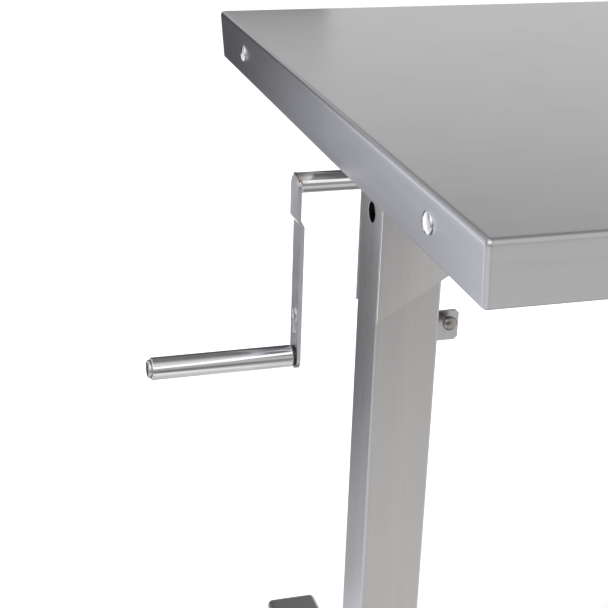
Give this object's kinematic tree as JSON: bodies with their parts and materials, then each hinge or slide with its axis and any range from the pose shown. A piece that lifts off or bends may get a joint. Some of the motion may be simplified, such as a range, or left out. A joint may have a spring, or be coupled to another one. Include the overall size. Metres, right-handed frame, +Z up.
{
  "type": "height-adjustable medical utility table",
  "caption": "Stainless steel work table on two telescoping legs with casters, raised and lowered by a detachable hand crank through bevel gears and lead screws.",
  "frame": {"origin": "centre of the bounding box, on the floor under the casters", "axes": "+X along the table from the crank end, +Y towards the back, +Z up"},
  "size_m": [1.3852, 0.762, 0.9144],
  "materials": {
    "brushed_stainless": "brushed, satin",
    "polished_stainless": "fine polished",
    "bronze": "machined",
    "zinc_plate": "bright zinc plate",
    "black_plastic": "moulded, matt",
    "grey_rubber": "moulded tread"
  },
  "bodies": {
    "base": {"left_foot": "brushed_stainless", "right_foot": "brushed_stainless", "lower_stretcher": "brushed_stainless", "left_inner_leg": "brushed_stainless", "right_inner_leg": "brushed_stainless", "left_lift_nut": "bronze", "right_lift_nut": "bronze"},
    "lift": {"tabletop": "brushed_stainless", "front_channel": "brushed_stainless", "rear_channel": "brushed_stainless", "spine_channel": "brushed_stainless", "left_cross_channel": "brushed_stainless", "right_cross_channel": "brushed_stainless", "left_outer_leg": "brushed_stainless", "right_outer_leg": "brushed_stainless", "left_glide": "black_plastic", "right_glide": "black_plastic", "left_bearing_block": "black_plastic", "right_bearing_block": "black_plastic", "left_outer_bush": "bronze", "left_inner_bush": "bronze", "right_inner_bush": "bronze", "hanger_tab": "polished_stainless", "hanger_stud": "polished_stainless", "left_front_gusset": "brushed_stainless", "left_front_rivet": "polished_stainless", "left_rear_gusset": "brushed_stainless", "left_rear_rivet": "polished_stainless", "right_front_gusset": "brushed_stainless", "right_front_rivet": "polished_stainless", "right_rear_gusset": "brushed_stainless", "right_rear_rivet": "polished_stainless"},
    "drive": {"drive_shaft": "zinc_plate", "left_pinion": "zinc_plate", "right_pinion": "zinc_plate"},
    "crank": {"crank_shaft": "polished_stainless", "crank_arm": "polished_stainless", "grip_spindle": "polished_stainless"},
    "grip": {"grip_sleeve": "polished_stainless"},
    "left_screw": {"left_lead_screw": "zinc_plate", "left_bevel_gear": "bronze"},
    "right_screw": {"right_lead_screw": "zinc_plate", "right_bevel_gear": "bronze"},
    "left_front_swivel": {"left_front_fork": "zinc_plate", "left_front_axle": "zinc_plate"},
    "left_front_roll": {"left_front_wheel": "grey_rubber"},
    "left_front_brake": {"left_front_brake_pedal": "black_plastic"},
    "left_rear_swivel": {"left_rear_fork": "zinc_plate", "left_rear_axle": "zinc_plate"},
    "left_rear_roll": {"left_rear_wheel": "grey_rubber"},
    "left_rear_brake": {"left_rear_brake_pedal": "black_plastic"},
    "right_front_swivel": {"right_front_fork": "zinc_plate", "right_front_axle": "zinc_plate"},
    "right_front_roll": {"right_front_wheel": "grey_rubber"},
    "right_front_brake": {"right_front_brake_pedal": "black_plastic"},
    "right_rear_swivel": {"right_rear_fork": "zinc_plate", "right_rear_axle": "zinc_plate"},
    "right_rear_roll": {"right_rear_wheel": "grey_rubber"},
    "right_rear_brake": {"right_rear_brake_pedal": "black_plastic"}
  },
  "joints": [
    {"name": "lift_slide", "type": "slide", "parent": "base", "child": "lift", "axis": [0, 0, 1], "range_m": [-0.1525, 0.1525]},
    {"name": "crank_turn", "type": "hinge", "parent": "lift", "child": "drive", "pos_m": [-0.4459, 0, 0.8322], "axis": [1, 0, 0], "range_deg": [-5486.4, 5486.4]},
    {"name": "crank_pull", "type": "slide", "parent": "drive", "child": "crank", "axis": [-1, 0, 0], "range_m": [0, 0.045]},
    {"name": "grip_spin", "type": "hinge", "parent": "crank", "child": "grip", "pos_m": [-0.5319, 0, 0.658], "axis": [1, 0, 0], "continuous": true},
    {"name": "left_screw_turn", "type": "hinge", "parent": "lift", "child": "left_screw", "pos_m": [-0.4459, 0, 0.8322], "axis": [0, 0, 1], "range_deg": [-5487.4, 5487.4]},
    {"name": "right_screw_turn", "type": "hinge", "parent": "lift", "child": "right_screw", "pos_m": [0.6013, 0, 0.8322], "axis": [0, 0, 1], "range_deg": [-5487.4, 5487.4]},
    {"name": "left_front_swivel_turn", "type": "hinge", "parent": "base", "child": "left_front_swivel", "pos_m": [-0.4459, -0.29, 0], "axis": [0, 0, 1], "continuous": true},
    {"name": "left_front_wheel_roll", "type": "hinge", "parent": "left_front_swivel", "child": "left_front_roll", "pos_m": [-0.4459, -0.32, 0.038], "axis": [1, 0, 0], "continuous": true},
    {"name": "left_front_brake_press", "type": "hinge", "parent": "left_front_swivel", "child": "left_front_brake", "pos_m": [-0.4459, -0.302, 0.087], "axis": [1, 0, 0], "range_deg": [0, 8]},
    {"name": "left_rear_swivel_turn", "type": "hinge", "parent": "base", "child": "left_rear_swivel", "pos_m": [-0.4459, 0.29, 0], "axis": [0, 0, 1], "continuous": true},
    {"name": "left_rear_wheel_roll", "type": "hinge", "parent": "left_rear_swivel", "child": "left_rear_roll", "pos_m": [-0.4459, 0.32, 0.038], "axis": [1, 0, 0], "continuous": true},
    {"name": "left_rear_brake_press", "type": "hinge", "parent": "left_rear_swivel", "child": "left_rear_brake", "pos_m": [-0.4459, 0.302, 0.087], "axis": [-1, 0, 0], "range_deg": [0, 8]},
    {"name": "right_front_swivel_turn", "type": "hinge", "parent": "base", "child": "right_front_swivel", "pos_m": [0.6013, -0.29, 0], "axis": [0, 0, 1], "continuous": true},
    {"name": "right_front_wheel_roll", "type": "hinge", "parent": "right_front_swivel", "child": "right_front_roll", "pos_m": [0.6013, -0.32, 0.038], "axis": [1, 0, 0], "continuous": true},
    {"name": "right_front_brake_press", "type": "hinge", "parent": "right_front_swivel", "child": "right_front_brake", "pos_m": [0.6013, -0.302, 0.087], "axis": [1, 0, 0], "range_deg": [0, 8]},
    {"name": "right_rear_swivel_turn", "type": "hinge", "parent": "base", "child": "right_rear_swivel", "pos_m": [0.6013, 0.29, 0], "axis": [0, 0, 1], "continuous": true},
    {"name": "right_rear_wheel_roll", "type": "hinge", "parent": "right_rear_swivel", "child": "right_rear_roll", "pos_m": [0.6013, 0.32, 0.038], "axis": [1, 0, 0], "continuous": true},
    {"name": "right_rear_brake_press", "type": "hinge", "parent": "right_rear_swivel", "child": "right_rear_brake", "pos_m": [0.6013, 0.302, 0.087], "axis": [-1, 0, 0], "range_deg": [0, 8]}
  ],
  "couplings": [
    {"joint": "lift_slide", "follows": "crank_turn", "m_per_rad": 0.0015915},
    {"joint": "left_screw_turn", "follows": "crank_turn", "ratio": 1},
    {"joint": "right_screw_turn", "follows": "crank_turn", "ratio": -1}
  ]
}
